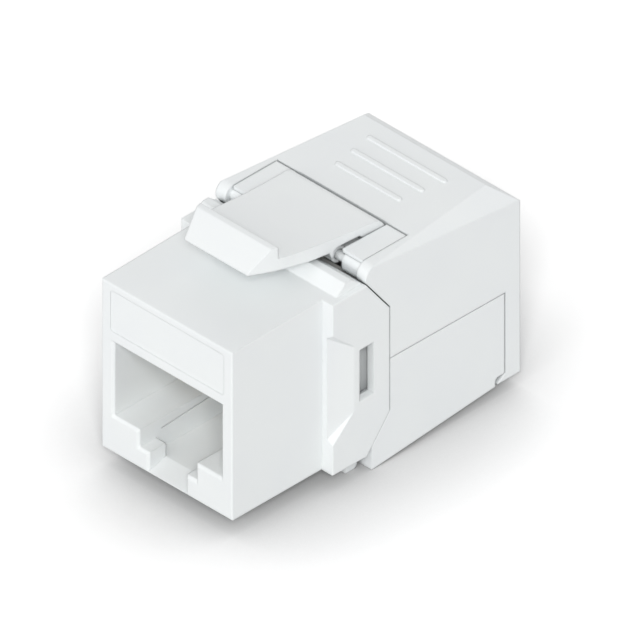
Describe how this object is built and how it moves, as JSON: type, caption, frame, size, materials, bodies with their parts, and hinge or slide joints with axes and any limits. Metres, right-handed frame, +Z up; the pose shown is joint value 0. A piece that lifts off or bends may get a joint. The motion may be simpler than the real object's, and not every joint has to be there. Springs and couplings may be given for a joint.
{
  "type": "keystone jack",
  "caption": "White keystone jack: front socket for a modular plug, springy latch on top, and a rear cap that hinges up over the wire terminals.",
  "frame": {"origin": "on the port face, midway across, level with the underside of the nose, where the nose sits in the panel opening", "axes": "+Y from the port face to the rear cap, +Z up towards the latch, X across the width"},
  "size_m": [0.0168, 0.0309, 0.0226],
  "materials": {
    "housing_plastic": "satin moulded white polycarbonate",
    "body_plastic": "satin moulded white polycarbonate",
    "latch_plastic": "satin moulded white polycarbonate",
    "cap_plastic": "satin moulded white polycarbonate",
    "carrier_plastic": "moulded white polyester",
    "block_plastic": "moulded white polycarbonate",
    "guide_plastic": "moulded white polycarbonate",
    "board_laminate": "glass epoxy laminate",
    "contact_gold": "gold-plated phosphor bronze",
    "terminal_tin": "tin-plated phosphor bronze"
  },
  "bodies": {
    "jack": {"front_housing": "housing_plastic", "rear_housing": "body_plastic", "contact_sled": "carrier_plastic", "circuit_board": "board_laminate", "terminal_block": "block_plastic", "jack_contact_1": "contact_gold", "jack_contact_2": "contact_gold", "jack_contact_3": "contact_gold", "jack_contact_4": "contact_gold", "jack_contact_5": "contact_gold", "jack_contact_6": "contact_gold", "jack_contact_7": "contact_gold", "jack_contact_8": "contact_gold", "idc_terminal_1": "terminal_tin", "idc_terminal_2": "terminal_tin", "idc_terminal_3": "terminal_tin", "idc_terminal_4": "terminal_tin", "idc_terminal_5": "terminal_tin", "idc_terminal_6": "terminal_tin", "idc_terminal_7": "terminal_tin", "idc_terminal_8": "terminal_tin"},
    "cap": {"wire_cap": "cap_plastic", "wire_guide": "guide_plastic"},
    "latch": {"latch_lever": "latch_plastic"}
  },
  "joints": [
    {"name": "cap_hinge", "type": "hinge", "parent": "jack", "child": "cap", "pos_m": [0, 0.0148, 0.01685], "axis": [1, 0, 0], "range_deg": [0, 90]},
    {"name": "latch_flex", "type": "hinge", "parent": "jack", "child": "latch", "pos_m": [0, 0.018, 0.01695], "axis": [1, 0, 0], "range_deg": [0, 5.5], "stiffness_Nm_per_rad": 0.8}
  ]
}
